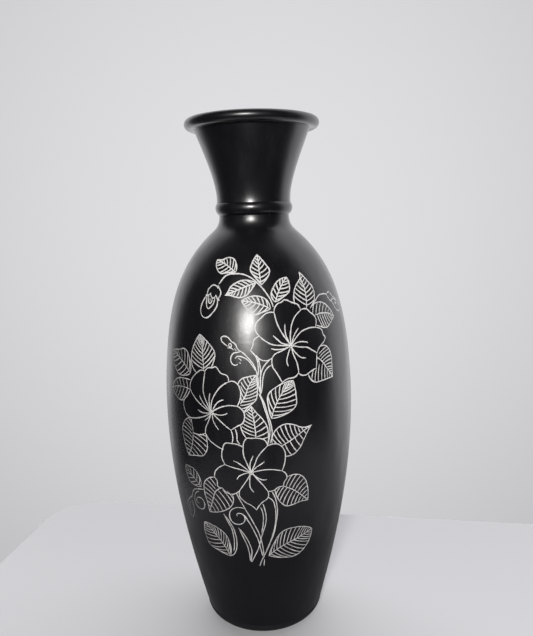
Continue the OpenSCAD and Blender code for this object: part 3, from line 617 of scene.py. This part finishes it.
# ---- engraved lines, in millimetres of arc length and height ----
def wound(x, z):
    """Patch coordinates of a point given as arc length and height."""
    return x * MM / body_radius(z * MM) * FLAT_RADIUS, z


def leaf_lines(
    tip, a, b, rib, veins, lean=LEAN, foot=None, root_a=None, root_b=None, edge_a=None, extra=None
):
    """Outline, midrib and veins of a leaf. Its lines run to the tip, and those of a free leaf start
    at its foot. A leaf that grows from behind a petal may start its veins from other lines than its
    midrib and its outline."""
    start = [foot] if foot else []
    a, b, rib = ([*start, *line] for line in (a, b, rib))
    lines = [[*line, tip] for line in (a, b, rib)] + ([extra] if extra else [])
    sides = (root_a or rib, edge_a or a), (root_b or rib, b)
    for (root, side), count, ahead in zip(sides, veins, lean):
        root, side = smooth_line([*root, tip]), smooth_line([*side, tip])
        for i in range(1, count + 1):
            share = (i - VEIN_HEAD) / (count + VEIN_SPARE)
            reach = share + ahead * min(1, LEAN_FADE * (1 - share))
            p, q = part_way(root, share), part_way(side, min(reach, VEIN_END))
            bow = (q - p).orthogonal() * VEIN_BOW
            if bow.dot(root[-1] - root[0]) > 0:
                bow = -bow
            lines.append([p, (p + q) / 2 + bow, q])
    return lines


def flower_lines(heart, corner, edges, rays, stamens):
    """Petal edges, each from where the last one ended, the petals' fold lines, the stamens and the
    little ring at the heart."""
    corners = [corner] + [edge[-1] for edge in edges]
    ring = [
        (heart[0] + HEART_RING * math.cos(t), heart[1] + HEART_RING * math.sin(t))
        for t in (i * FULL / HEART_PARTS for i in range(HEART_PARTS + 1))
    ]
    edges = [[start, *edge] for start, edge in zip(corners, edges)]
    return [*edges, *([heart, *ray] for ray in rays), *stamens, ring]


def smooth_line(points):
    """A smooth line through given points."""
    return [p for p, _ in refined(points, LINE_STEP)]


def part_way(line, share):
    """The point at a share of the way along a line's points."""
    place_at = share * (len(line) - 1)
    i = min(int(place_at), len(line) - 2)
    return line[i].lerp(line[i + 1], place_at - i)


def stroke(points, seed):
    """Left and right edges of one engraved line with the small unevenness of a hand tool."""
    line = smooth_line(points)
    total = sum((q - p).length for p, q in zip(line, line[1:]))
    gone, sides = 0.0, []
    for i, p in enumerate(line):
        before, after = line[max(i - 1, 0)], line[min(i + 1, len(line) - 1)]
        gone += (p - before).length
        drift = noise.noise_vector((gone / PATH_WAVE, seed, 0)) * PATH_PLAY
        wide = 1 + WIDTH_PLAY * noise.noise((gone / WIDTH_WAVE, seed, WIDTH_LAYER))
        tip = min(1, min(gone, total - gone) / TIP_LENGTH)
        bold = min(1, max(0, (p.y - FINE_BELOW) / (BOLD_ABOVE - FINE_BELOW)))
        half = LINE_HALF[0] + (LINE_HALF[1] - LINE_HALF[0]) * bold
        half *= wide * (TIP_SHARE + (1 - TIP_SHARE) * tip)
        side = (after - before).orthogonal().normalized() * half
        middle = p + Vector((drift.x, drift.y))
        sides.append((middle + side, middle - side, middle))
    return sides


def stroke_faces(points, seed, corners):
    """Adds a stroke's corners in patch coordinates and gives its convex faces."""
    sides = stroke(points, seed)

    def add(p):
        corners.append(wound(p.x, p.y))
        return len(corners) - 1

    ids = [(add(left), add(right)) for left, right, _ in sides]
    faces = []
    for (a, b), (c, d) in zip(ids, ids[1:]):
        faces += [[b, d, c, a]] if bent(corners, b, d, c, a) else [[b, d, a], [d, c, a]]
    for i, away in ((0, -1), (-1, 1)):
        left, right, middle = sides[i]
        out = (right - left).orthogonal() * away / 2
        arc = []
        for k in range(1, CAP_PARTS):
            t = math.pi * k / CAP_PARTS
            arc.append(add(middle + (left - middle) * math.cos(t) + out * math.sin(t)))
        faces.append([ids[i][0], *arc, ids[i][1]])
    return [rounded for rounded in (turned(corners, f) for f in faces) if rounded]


def area(corners, face):
    """Signed area of a face in patch coordinates."""
    total = 0
    for a, b in zip(face, face[1:] + face[:1]):
        total += corners[a][0] * corners[b][1] - corners[b][0] * corners[a][1]
    return total / 2


def bent(corners, *face):
    """Whether a face of four corners turns the same way at each of them."""
    signs = [
        area(corners, [face[i - 1], face[i], face[(i + 1) % len(face)]]) > 0
        for i in range(len(face))
    ]
    return all(signs) or not any(signs)


def turned(corners, face):
    """The face running anticlockwise, or None if it has no area."""
    size = area(corners, face)
    if abs(size) < TINY:
        return None
    return face if size > 0 else face[::-1]


# ---- the decorated front ----
def motif_lines():
    """Every motif's lines by name, in the order in which they own shared ground."""
    lines = {name: flower_lines(**parts) for name, parts in FLOWERS.items()}
    lines.update((name, leaf_lines(**parts)) for name, parts in LEAVES.items())
    lines.update(LINES)
    return lines


def rows(low, high):
    """Heights from low to high, about a row step apart."""
    count = max(1, round((high - low) / ROW_STEP))
    return [low + (high - low) * i / count for i in range(count + 1)]


def front_patch():
    """The decorated front as triangles: (turn, height) corners, triangles of corner ids, and each
    triangle's motif, or None where the clay is plain."""
    corners, faces, owners = [], [], []
    seed = SEED_STEP
    for name, lines in motif_lines().items():
        for line in lines:
            seed += SEED_STEP
            new = stroke_faces(line, seed, corners)
            faces += new
            owners += [name] * len(new)
    cells = {(round(x / GRID_CLEAR), round(z / GRID_CLEAR)) for x, z in corners}
    edges = []
    for z in rows(PATCH_LOW, SEAM)[:-1] + rows(SEAM, PATCH_HIGH):
        last = None
        for column in range(-PATCH_HALF, PATCH_HALF + 1):
            x, y = column * TURN * FLAT_RADIUS, z / MM
            near = any(
                (round(x / GRID_CLEAR) + i, round(y / GRID_CLEAR) + j) in cells
                for i in (-1, 0, 1)
                for j in (-1, 0, 1)
            )
            if near and abs(column) < PATCH_HALF and PATCH_LOW < z < PATCH_HIGH:
                continue
            corners.append((x, y))
            if z == SEAM and last is not None:
                edges.append((last, len(corners) - 1))
            last = len(corners) - 1
    cut = geometry.delaunay_2d_cdt([Vector(c) for c in corners], edges, faces, 0, TINY, True)
    points, _, triangles, given, _, covered = cut
    places = []
    for point, source in zip(points, given):
        x, z = corners[source[0]] if source else point
        places.append((x / FLAT_RADIUS, z * MM))
    rank = {name: i for i, name in enumerate(dict.fromkeys(owners))}
    motifs = [min((owners[f] for f in c), key=rank.get) if c else None for c in covered]
    return places, triangles, motifs


def neighbours(triangles):
    """The triangle that holds each directed edge."""
    return {(t[i - 1], t[i]): n for n, t in enumerate(triangles) for i in range(len(t))}


def add_front(shells, patch):
    """Adds the patch to the walls' shells: plain clay, groove floors and groove sides."""
    places, triangles, motifs = patch
    beside = neighbours(triangles)
    radii = [body_radius(z) for _, z in places]
    shares = [body_normal(z) for _, z in places]

    def at(i, depth):
        return places[i][0], radii[i] - depth, places[i][1]

    for n, triangle in enumerate(triangles):
        shell = shells[sum(places[i][1] for i in triangle) / 3 > SEAM]
        depth = GROOVE if motifs[n] else 0
        shell.face([at(i, depth) for i in triangle], [shares[i] for i in triangle])
        for a, b in zip(triangle[-1:] + triangle[:-1], triangle) if motifs[n] else ():
            other = beside.get((b, a))
            if other is not None and not motifs[other]:
                shell.face([at(b, 0), at(b, GROOVE), at(a, GROOVE), at(a, 0)])


def powder_shell(name, patch):
    """The powder of one motif: a thin closed body that fills its grooves."""
    places, triangles, motifs = patch
    mine = [t for t, motif in zip(triangles, motifs) if motif == name]
    beside = neighbours(mine)
    shell = Shell()

    def top(i):
        turn, z = places[i]
        radius = body_radius(z)
        grain = noise.noise(Vector(place(turn, radius, z)) / GRAIN)
        return turn, radius - POWDER_TOP - POWDER_PLAY * grain, z

    def floor(i):
        turn, z = places[i]
        return turn, body_radius(z) - POWDER_FLOOR, z

    for triangle in mine:
        shell.face([top(i) for i in triangle], [body_normal(places[i][1]) for i in triangle])
        shell.face([floor(i) for i in reversed(triangle)])
        for a, b in zip(triangle[-1:] + triangle[:-1], triangle):
            if (b, a) not in beside:
                shell.face([top(a), floor(a), floor(b), top(b)])
    return shell


# ---- clay pieces ----
def add_rows(shell, low, high, columns):
    """Adds rings of the body's outer face between two heights, over a range of columns."""
    heights = rows(low, high)
    for z0, z1 in zip(heights, heights[1:]):
        r0, r1, n0, n1 = body_radius(z0), body_radius(z1), body_normal(z0), body_normal(z1)
        for column in columns:
            a, b = column * TURN, (column + 1) * TURN
            shell.face([(a, r0, z0), (b, r0, z0), (b, r1, z1), (a, r1, z1)], [n0, n0, n1, n1])


def seam_edge(shell):
    """Corner ids along the outer face's open edge at the seam, from the back round to the back."""
    used = {(f[i - 1], f[i]) for f in shell.faces for i in range(len(f))}
    after = {
        a: b
        for a, b in used
        if (b, a) not in used and all(abs(shell.points[i][2] - SEAM) < TINY for i in (a, b))
    }
    start = shell.corner(FULL / 2, body_radius(SEAM), SEAM)
    loop = [start, after[start]]
    while loop[-1] != start:
        loop.append(after[loop[-1]])
    return loop


def turn_of(point):
    """Angle of a point from the front."""
    return math.atan2(point[0], -point[1])


def close_seam(shell, radius, upward):
    """Joins the outer face's edge at the seam to the round inner edge of the lap's step."""
    loop = seam_edge(shell)
    if turn_of(shell.points[loop[1]]) > 0:
        loop.reverse()
    outer = [(-FULL / 2, loop[0])]
    outer += [(turn_of(shell.points[i]), i) for i in loop[1:-1]]
    outer.append((FULL / 2, loop[-1]))
    ring = [i * TURN - FULL / 2 for i in range(COLUMNS + 1)]
    inner = [(turn, shell.corner(turn, radius, SEAM)) for turn in ring]
    i = j = 0
    while i < len(outer) - 1 or j < len(inner) - 1:
        step_out = j == len(inner) - 1 or (i < len(outer) - 1 and outer[i + 1][0] <= inner[j + 1][0])
        if step_out:
            face = [outer[i][1], outer[i + 1][1], inner[j][1]]
            i += 1
        else:
            face = [outer[i][1], inner[j + 1][1], inner[j][1]]
            j += 1
        shell.add(face if upward else face[::-1])


def wall_shells(patch):
    """Shells of the lower and the upper body wall."""
    shells = Shell(), Shell()
    around = range(PATCH_HALF, COLUMNS - PATCH_HALF)
    add_front(shells, patch)
    add_rows(shells[0], BODY_LOW, PATCH_LOW, range(COLUMNS))
    add_rows(shells[0], PATCH_LOW, SEAM, around)
    add_rows(shells[1], SEAM, PATCH_HIGH, around)
    add_rows(shells[1], PATCH_HIGH, BODY_HIGH, range(COLUMNS))
    for shell, node in zip(shells, ("lower_wall", "upper_wall")):
        outer = outer_run(node)
        for run in runs_of(seam_loop(node)):
            step = all(abs(z - SEAM) < TINY for _, z in run)
            if step:
                close_seam(shell, min(r for r, _ in run), upward=node == "lower_wall")
            elif run != outer:
                lathe(shell, run, INNER_STEP, inner=len(run) > 2)
    return shells


def ring_shell(node):
    """Shell of a clay ring: the collar, the neck or the lip."""
    shell = Shell()
    for run in runs_of(seam_loop(node)):
        climbs = run[-1][1] > run[0][1] and len(run) > 2
        lathe(shell, run, RIM_STEP, inner=climbs)
    return shell


def base_shell():
    """Shell of the foot disc, walked from the middle of its top to the middle of its underside."""
    arc = seam_loop("base_disc")[::-1]
    shell = Shell()
    lathe(shell, [(0, arc[0][1]), arc[0]], INNER_STEP)
    for run in runs_of(arc):
        lathe(shell, run, RIM_STEP)
    lathe(shell, [arc[-1], (0, arc[-1][1])], INNER_STEP)
    return shell


# ---- materials ----
CLAY_IOR = 1.75
LOW_GLOSS = 0.06
HIGH_GLOSS = 0.42


class Nodes:
    """The node tree of a material or of the room, with short ways to add to it."""

    def __init__(self, owner):
        owner.use_nodes = True
        self.tree = owner.node_tree
        self.tree.nodes.clear()

    def add(self, kind, inputs=None, **settings):
        """Adds a node, sets it up, and fills or links its inputs."""
        node = self.tree.nodes.new(kind)
        for key, value in settings.items():
            setattr(node, key, value)
        for key, value in (inputs or {}).items():
            if isinstance(value, bpy.types.NodeSocket):
                self.tree.links.new(value, node.inputs[key])
            else:
                node.inputs[key].default_value = value
        return node

    def ranged(self, value, low, high, to_low, to_high, **settings):
        """A value's range moved to another one, and held at its ends."""
        inputs = {"Value": value, "From Min": low, "From Max": high}
        inputs.update({"To Min": to_low, "To Max": to_high})
        return self.add("ShaderNodeMapRange", inputs, **settings).outputs[0]


class Recipe(Nodes):
    """A material with the nodes that the finishes share."""

    def __init__(self, name):
        self.material = bpy.data.materials.new(name)
        super().__init__(self.material)
        self.shader = self.add("ShaderNodeBsdfPrincipled")
        self.add("ShaderNodeOutputMaterial", {"Surface": self.shader.outputs["BSDF"]})
        self.place = self.add("ShaderNodeTexCoord").outputs["Object"]

    def noise(self, scale, detail=3.0, stretch=(1, 1, 1), warp=0.0, turn=(0, 0, 0)):
        """Noise over the piece, from 0 to 1. Scale is in features per metre."""
        inputs = {"Vector": self.place, "Scale": stretch, "Rotation": turn}
        mapping = self.add("ShaderNodeMapping", inputs)
        inputs = {"Vector": mapping.outputs[0], "Scale": scale, "Detail": detail, "Distortion": warp}
        return self.add("ShaderNodeTexNoise", inputs).outputs["Fac"]

    def math(self, operation, a, b):
        """Two values joined by a sum, a product or the like."""
        return self.add("ShaderNodeMath", {0: a, 1: b}, operation=operation).outputs[0]

    def mixed(self, share, a, b):
        """A colour between two others."""
        a, b = (c if isinstance(c, bpy.types.NodeSocket) else (*c, 1) for c in (a, b))
        return self.add("ShaderNodeMix", {0: share, 6: a, 7: b}, data_type="RGBA").outputs[2]

    def height(self):
        """Height above the resting face, in metres."""
        return self.add("ShaderNodeSeparateXYZ", {0: self.place}).outputs["Z"]

    def bump(self, value, depth, under=None):
        """A bump of so many metres, on top of another bump if there is one."""
        inputs = {"Height": value, "Distance": depth, "Strength": 1.0}
        if under:
            inputs["Normal"] = under
        return self.add("ShaderNodeBump", inputs).outputs[0]

    def finish(self, colour, roughness, normal):
        """Links the finished colour, roughness and normal to the shader."""
        for key, value in (("Base Color", colour), ("Roughness", roughness), ("Normal", normal)):
            self.tree.links.new(value, self.shader.inputs[key])
        return self.material


def burnished_clay():
    """Smoke-blackened clay rubbed to a soft shine with a stone, duller towards the foot."""
    r = Recipe("burnished_clay_look")
    r.shader.inputs["IOR"].default_value = CLAY_IOR
    clouds = r.noise(22, 4, warp=0.4)
    specks = r.ranged(r.noise(900, 2), 0.70, 0.78, 0, 1)
    rubbing = r.noise(90, 3, (1, 1, 0.22), 0.3, (0, math.radians(-16), 0))
    strokes = r.noise(240, 3, (1, 1, 0.1), 0.2, (0, math.radians(-16), 0))
    rings = r.noise(150, 2, (0.06, 0.06, 1), 0.1)
    base = r.mixed(clouds, (0.0022, 0.0020, 0.0036), (0.0054, 0.0048, 0.0070))
    dusty = r.math("MULTIPLY", specks, 0.5)
    colour = r.mixed(dusty, base, (0.05, 0.048, 0.046))
    low_dull = r.ranged(r.height(), 0.1 * HEIGHT, 0.5 * HEIGHT, 0.2, 0.0)
    play = r.ranged(rubbing, 0.3, 0.7, -0.05, 0.05)
    patches = r.ranged(clouds, 0.3, 0.7, 0.305, 0.35)
    rough = r.math("ADD", r.math("ADD", patches, play), low_dull)
    rough = r.math("ADD", rough, r.math("MULTIPLY", specks, 0.15))
    normal = r.bump(clouds, 0.35 * MM)
    normal = r.bump(rings, 0.018 * MM, normal)
    normal = r.bump(strokes, 0.03 * MM, normal)
    normal = r.bump(specks, 0.03 * MM, normal)
    gloss = r.ranged(r.height(), 0.2 * HEIGHT, 0.55 * HEIGHT, LOW_GLOSS, HIGH_GLOSS)
    r.tree.links.new(gloss, r.shader.inputs["Specular IOR Level"])
    return r.finish(colour, rough, normal)


def matt_clay():
    """The same clay where no stone has rubbed it: inside the pot and under its foot."""
    r = Recipe("matt_clay_look")
    clouds = r.noise(35, 4, warp=0.3)
    grit = r.noise(1400, 3)
    rings = r.noise(260, 3, (0.05, 0.05, 1), 0.15)
    colour = r.mixed(clouds, (0.004, 0.0038, 0.0052), (0.010, 0.0095, 0.0115))
    r.shader.inputs["Specular IOR Level"].default_value = LOW_GLOSS * 3
    rough = r.ranged(grit, 0.3, 0.7, 0.62, 0.82)
    normal = r.bump(rings, 0.25 * MM)
    normal = r.bump(grit, 0.08 * MM, normal)
    return r.finish(colour, rough, normal)


def pale_powder():
    """Fine pale powder rubbed into the lines: fresh and white high up, rubbed thin and grey low
    down and at the left, and patchy along each line."""
    r = Recipe("pale_powder_look")
    split = r.add("ShaderNodeSeparateXYZ", {0: r.place}).outputs
    low = r.ranged(split["Z"], 0.15 * HEIGHT, 0.56 * HEIGHT, 0.68, 0.0)
    left = r.ranged(split["X"], -0.15 * HEIGHT, -0.05 * HEIGHT, 0.85, 0.0)
    patchy = r.ranged(r.noise(120, 4), 0.35, 0.7, -0.2, 0.2)
    thin = r.math("MAXIMUM", low, left)
    worn = r.math("ADD", r.math("ADD", thin, r.math("MULTIPLY", low, left)), patchy)
    grains = r.noise(2600, 3)
    pale = r.mixed(grains, (0.74, 0.735, 0.73), (0.97, 0.965, 0.95))
    colour = r.mixed(worn, pale, (0.20, 0.195, 0.195))
    rough = r.ranged(grains, 0.3, 0.7, 0.7, 0.92)
    normal = r.bump(grains, 0.1 * MM)
    return r.finish(colour, rough, normal)


def plain_paint(name, colour, roughness):
    """Plain stage paint with a trace of unevenness."""
    r = Recipe(name)
    clouds = r.noise(3, 3)
    darker = tuple(c * 0.96 for c in colour)
    return r.finish(r.mixed(clouds, darker, colour), r.ranged(clouds, 0, 1, roughness, roughness),
                    r.bump(r.noise(300, 2), 0.05 * MM))


# ---- stage, light and camera ----
TABLE_TURN = math.radians(-9.3)
TABLE_LEFT = -0.27
TABLE_RIGHT = 0.40
TABLE_FRONT = -0.25
TABLE_BACK = 0.161
TABLE_CORNER = 0.06
TABLE_THICK = 0.03
TABLE_EDGE = 0.008
EDGE_PARTS = 6
CORNER_PARTS = 16
LAMPS_AIM = 0.55
LAMP_WAY = (-0.17, -0.93, 0.284)
LAMP_AWAY = 2.0
LAMP_SIZE = 0.3
LAMP_WATTS = 34
FILL_WAY = (0.85, -0.45, 0.35)
FILL_AWAY = 1.5
FILL_SIZE = 0.8
FILL_WATTS = 2
BRIGHT_SIDE = (0.25, 1.0, 0.19)
BRIGHT_FROM = 0.31
BRIGHT_TO = 0.44
ROOM_LIT = (0.04, 1.3)
ROOM_SEEN = (0.52, 0.77)
SEEN_WIDE = 0.76


def table_ring(inset, z):
    """The outline of the table, drawn in by an inset, at a height."""
    right, left = TABLE_RIGHT - TABLE_CORNER, TABLE_LEFT + TABLE_CORNER
    front, back = TABLE_FRONT + TABLE_CORNER, TABLE_BACK - TABLE_CORNER
    ring = []
    for x, y, start in ((right, front, -90), (right, back, 0), (left, back, 90), (left, front, 180)):
        for i in range(CORNER_PARTS + 1):
            angle = math.radians(start + 90 * i / CORNER_PARTS)
            reach = TABLE_CORNER - inset
            point = Vector((x + reach * math.cos(angle), y + reach * math.sin(angle)))
            point.rotate(Matrix.Rotation(TABLE_TURN, 2))
            ring.append((*point, z))
    return ring


def make_stage():
    """A plain pale table top with rounded edges, which the pot stands on."""
    rings = []
    for i in range(EDGE_PARTS + 1):
        t = i / EDGE_PARTS * math.pi / 2
        inset = TABLE_EDGE * (1 - math.sin(t))
        rings.append(table_ring(inset, TABLE_EDGE * (math.cos(t) - 1)))
    rings.append(table_ring(0, -TABLE_THICK))
    count = len(rings[0])
    points = [point for ring in rings for point in ring]
    faces = [tuple(range(count)), tuple(reversed(range(count * (len(rings) - 1), count * len(rings))))]
    for k in range(len(rings) - 1):
        for i in range(count):
            j = (i + 1) % count
            faces.append((k * count + i, (k + 1) * count + i, (k + 1) * count + j, k * count + j))
    mesh = bpy.data.meshes.new("stage_table")
    mesh.from_pydata(points, [], faces)
    mesh.polygons.foreach_set("use_smooth", [len(face.vertices) == 4 for face in mesh.polygons])
    mesh.materials.append(plain_paint("stage_paint", (0.80, 0.80, 0.82), 0.6))
    put_in_scene("stage_table", mesh)


def area_light(name, place_at, target, size, watts, colour, shines=True):
    """A soft square lamp that faces a target, and may be left out of mirror reflections."""
    lamp = bpy.data.lights.new(name, "AREA")
    lamp.shape = "SQUARE"
    lamp.size = size
    lamp.energy = watts
    lamp.color = colour
    obj = put_in_scene(name, lamp)
    obj.visible_glossy = shines
    obj.location = place_at
    obj.rotation_euler = (Vector(target) - Vector(place_at)).to_track_quat("-Z", "Y").to_euler()


def make_lights():
    """A lamp above and left of the camera, and a weak one to its right."""
    middle = Vector((0, 0, LAMPS_AIM * HEIGHT))
    lamp_at = middle + Vector(LAMP_WAY).normalized() * LAMP_AWAY
    area_light("front_lamp", lamp_at, middle, LAMP_SIZE, LAMP_WATTS, (1, 0.985, 0.97))
    fill_at = middle + Vector(FILL_WAY).normalized() * FILL_AWAY
    area_light("fill_lamp", fill_at, middle, FILL_SIZE, FILL_WATTS, (0.96, 0.98, 1), False)


def make_room():
    """A room that is dark in front of the pot and to its left, and pale behind it and to its upper
    right. The camera sees it as a plain pale wall."""
    world = bpy.data.worlds.new("room")
    bpy.context.scene.world = world
    room = Nodes(world)
    way = room.add("ShaderNodeTexCoord").outputs["Generated"]
    lean = room.add("ShaderNodeVectorMath", {0: way, 1: BRIGHT_SIDE}, operation="DOT_PRODUCT")
    lit = room.ranged(
        lean.outputs["Value"], BRIGHT_FROM, BRIGHT_TO, *ROOM_LIT, interpolation_type="SMOOTHSTEP"
    )
    split = room.add("ShaderNodeSeparateXYZ", {0: way}).outputs
    ahead = room.add("ShaderNodeMath", {0: split["Y"]}, operation="ABSOLUTE").outputs[0]
    seen = room.ranged(ahead, SEEN_WIDE, 1, *ROOM_SEEN)
    shown = room.add("ShaderNodeLightPath").outputs["Is Camera Ray"]
    strength = room.add("ShaderNodeMix", {0: shown, 2: lit, 3: seen}).outputs[0]
    inputs = {"Color": (0.97, 0.965, 1.0, 1), "Strength": strength}
    light = room.add("ShaderNodeBackground", inputs).outputs[0]
    room.add("ShaderNodeOutputWorld", {"Surface": light})


EYE = (0.019, -1.182, 0.825)
TILT = math.radians(9.95)
ROLL = math.radians(1.45)
LENS = 33.96
SENSOR = 36


def make_camera():
    """A camera a little over half a metre off, near the height of the collar, tilted down."""
    level = Vector((0, math.sin(TILT), math.cos(TILT)))
    right = Vector((1, 0, 0)) * math.cos(ROLL) - level * math.sin(ROLL)
    up = Vector((1, 0, 0)) * math.sin(ROLL) + level * math.cos(ROLL)
    data = bpy.data.cameras.new("camera")
    data.lens = LENS
    data.sensor_width = SENSOR
    camera = put_in_scene("camera", data)
    camera.matrix_world = Matrix.LocRotScale(
        Vector(EYE) * HEIGHT, Matrix((right, up, right.cross(up))).transposed(), None
    )
    bpy.context.scene.camera = camera
    bpy.context.scene.view_settings.view_transform = "Standard"


# ---- the pot ----
def stand_in(shell, name, node, materials):
    """Makes a shell into a piece that takes a CAD node's place."""
    piece = shell.piece(name, materials)
    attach(piece, BODY)
    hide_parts(node)


def build_pot():
    """All the clay and powder pieces."""
    shine, matt, pale = burnished_clay(), matt_clay(), pale_powder()
    patch = front_patch()
    stand_in(base_shell(), "clay_base_disc", "base_disc", [matt])
    for shell, node in zip(wall_shells(patch), ("lower_wall", "upper_wall")):
        stand_in(shell, "clay_" + node, node, [shine, matt])
    for node in ("collar_bead", "neck", "lip_roll"):
        stand_in(ring_shell(node), "clay_" + node, node, [shine, matt])
    for name in motif_lines():
        stand_in(powder_shell(name, patch), "powder_" + name, name, [pale])


noise.seed_set(NOISE_SEED)
make_camera()
make_stage()
make_lights()
make_room()
build_pot()
